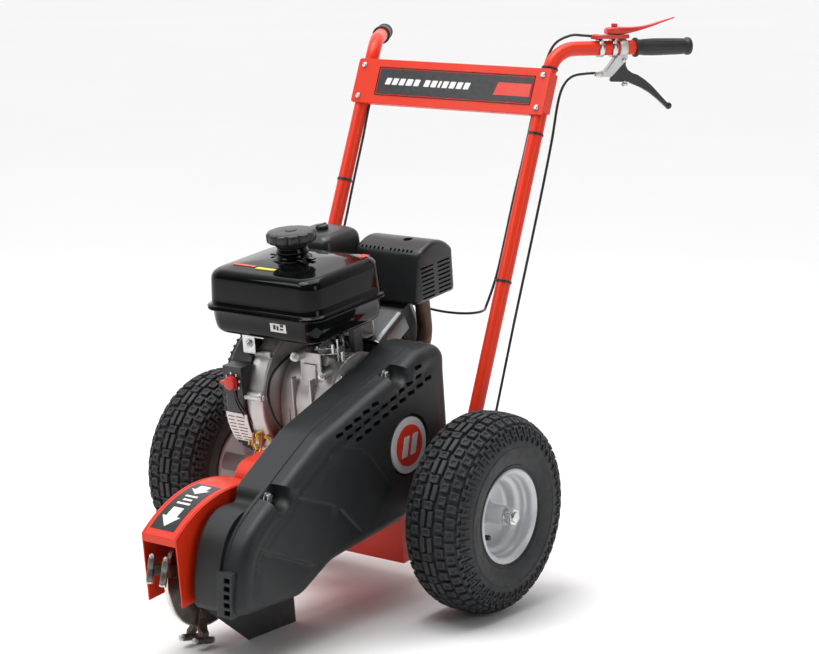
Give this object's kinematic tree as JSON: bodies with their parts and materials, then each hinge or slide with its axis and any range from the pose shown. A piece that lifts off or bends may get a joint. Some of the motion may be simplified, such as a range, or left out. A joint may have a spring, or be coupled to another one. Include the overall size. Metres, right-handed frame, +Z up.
{
  "type": "stump grinder",
  "caption": "Walk-behind stump grinder: petrol engine on a red steel chassis with pneumatic wheels, belt-driven toothed cutter under an arched hood, splayed handlebars with hand levers.",
  "frame": {"origin": "middle of the footprint, on the ground that the tyres and the belt pan stand on", "axes": "+X to the operator's left (belt guard side), +Y back to the grips, +Z up"},
  "size_m": [0.7968, 1.2164, 1.0845],
  "materials": {
    "red_paint": "satin powder coat",
    "black_paint": "gloss enamel",
    "black_plastic": "fine grained moulding",
    "bright_steel": "zinc plated",
    "dark_steel": "bare steel, darkened",
    "tyre_rubber": "matt rubber",
    "silver_paint": "silver paint",
    "bronze": "sintered bronze",
    "grip_rubber": "soft rubber",
    "cast_alloy": "die cast",
    "red_plastic": "moulded"
  },
  "bodies": {
    "chassis": {"frame": "red_paint", "boom": "red_paint", "cutter_hood": "red_paint", "belt_pan": "black_paint", "axle": "bright_steel", "axle_nuts": "bright_steel", "shoe_guide": "red_paint", "handle_left": "red_paint", "handle_right": "red_paint", "handle_panel": "red_paint", "badges": "cast_alloy", "handle_bolts": "bright_steel", "grip_left": "grip_rubber", "grip_right": "grip_rubber", "throttle_housing": "red_plastic", "brake_bracket": "cast_alloy", "throttle_cable": "grip_rubber", "brake_cable": "grip_rubber", "cable_ties": "black_plastic", "cutter_bearings": "dark_steel", "drive_belt": "grip_rubber", "guard_inner": "black_plastic", "guard_cover": "black_plastic", "guard_bolts": "bright_steel", "crankcase": "cast_alloy", "side_cover": "cast_alloy", "cylinder": "cast_alloy", "blower_housing": "black_paint", "recoil_starter": "black_plastic", "tank_lower": "black_paint", "tank_upper": "black_paint", "air_cleaner": "black_plastic", "carburettor": "cast_alloy", "muffler": "black_paint", "switch_box": "black_plastic"},
    "wheel_left": {"tyre_left": "tyre_rubber", "rim_left": "silver_paint", "hub_bushes_left": "bronze", "brake_drum": "bright_steel"},
    "wheel_right": {"tyre_right": "tyre_rubber", "rim_right": "silver_paint", "hub_bushes_right": "bronze"},
    "cutter": {"cutter_shaft": "bright_steel", "cutter_disc": "dark_steel", "teeth": "dark_steel", "tooth_nuts": "bright_steel", "driven_pulley": "bright_steel"},
    "engine_shaft": {"crankshaft": "dark_steel", "flywheel": "dark_steel", "clutch_pulley": "bright_steel"},
    "throttle_lever": {"throttle_lever": "red_plastic"},
    "throttle_arm": {"throttle_arm": "bright_steel"},
    "brake_lever": {"brake_lever": "black_plastic"},
    "brake_shoe": {"brake_shoe": "dark_steel"},
    "lock_button": {"lock_button": "cast_alloy"},
    "fuel_cap": {"fuel_cap": "black_plastic"},
    "switch_knob": {"switch_knob": "red_plastic"},
    "starter_grip": {"starter_grip": "black_plastic"},
    "choke_lever": {"choke_lever": "black_plastic"},
    "oil_cap": {"oil_cap": "black_plastic"}
  },
  "joints": [
    {"name": "wheel_left_spin", "type": "hinge", "parent": "chassis", "child": "wheel_left", "pos_m": [0.3205, -0.0137, 0.1905], "axis": [1, 0, 0], "continuous": true},
    {"name": "wheel_right_spin", "type": "hinge", "parent": "chassis", "child": "wheel_right", "pos_m": [-0.3205, -0.0137, 0.1905], "axis": [1, 0, 0], "continuous": true},
    {"name": "engine_spin", "type": "hinge", "parent": "chassis", "child": "engine_shaft", "pos_m": [0, -0.06592, 0.38383], "axis": [1, 0, 0], "continuous": true},
    {"name": "cutter_spin", "type": "hinge", "parent": "chassis", "child": "cutter", "pos_m": [0.031, -0.47273, 0.1382], "axis": [1, 0, 0], "continuous": true},
    {"name": "throttle_turn", "type": "hinge", "parent": "chassis", "child": "throttle_lever", "pos_m": [0.29158, 0.46162, 1.05694], "axis": [0, 0, 1], "range_deg": [0, 55]},
    {"name": "throttle_arm_turn", "type": "hinge", "parent": "chassis", "child": "throttle_arm", "pos_m": [-0.092, 0.03014, 0.54776], "axis": [0, 0.9936, 0.1132], "range_deg": [0, 66.1]},
    {"name": "brake_squeeze", "type": "hinge", "parent": "chassis", "child": "brake_lever", "pos_m": [0.30164, 0.47654, 1.00294], "axis": [0.829, -0.5592, 0], "range_deg": [0, 26], "stiffness_Nm_per_rad": 0.8, "springref_deg": -20.05},
    {"name": "shoe_slide", "type": "slide", "parent": "chassis", "child": "brake_shoe", "axis": [0, -0.9936, -0.1132], "range_m": [0, 0.0013]},
    {"name": "lock_press", "type": "slide", "parent": "brake_lever", "child": "lock_button", "axis": [0, 0, 1], "range_m": [0, 0.0035], "stiffness_N_per_m": 300, "springref_m": -0.003},
    {"name": "fuel_cap_turn", "type": "hinge", "parent": "chassis", "child": "fuel_cap", "pos_m": [-0.047, -0.12765, 0.66062], "axis": [0, -0.1132, 0.9936], "range_deg": [0, 90]},
    {"name": "switch_turn", "type": "hinge", "parent": "chassis", "child": "switch_knob", "pos_m": [-0.112, -0.23498, 0.41892], "axis": [0, -0.9936, -0.1132], "range_deg": [0, 45]},
    {"name": "starter_pull", "type": "slide", "parent": "chassis", "child": "starter_grip", "axis": [0, 0.8526, 0.5225], "range_m": [0, 0.1], "stiffness_N_per_m": 40, "springref_m": -0.05},
    {"name": "choke_turn", "type": "hinge", "parent": "chassis", "child": "choke_lever", "pos_m": [-0.118, 0.0499, 0.55102], "axis": [1, 0, 0], "range_deg": [0, 70]},
    {"name": "oil_cap_turn", "type": "hinge", "parent": "chassis", "child": "oil_cap", "pos_m": [0.02, -0.14702, 0.31823], "axis": [0, -0.9936, -0.1132], "range_deg": [0, 270]}
  ],
  "couplings": [
    {"joint": "cutter_spin", "follows": "engine_spin", "ratio": 1.1015},
    {"joint": "throttle_arm_turn", "follows": "throttle_turn", "ratio": 1.2},
    {"joint": "shoe_slide", "follows": "brake_squeeze", "m_per_rad": 0.00285}
  ]
}
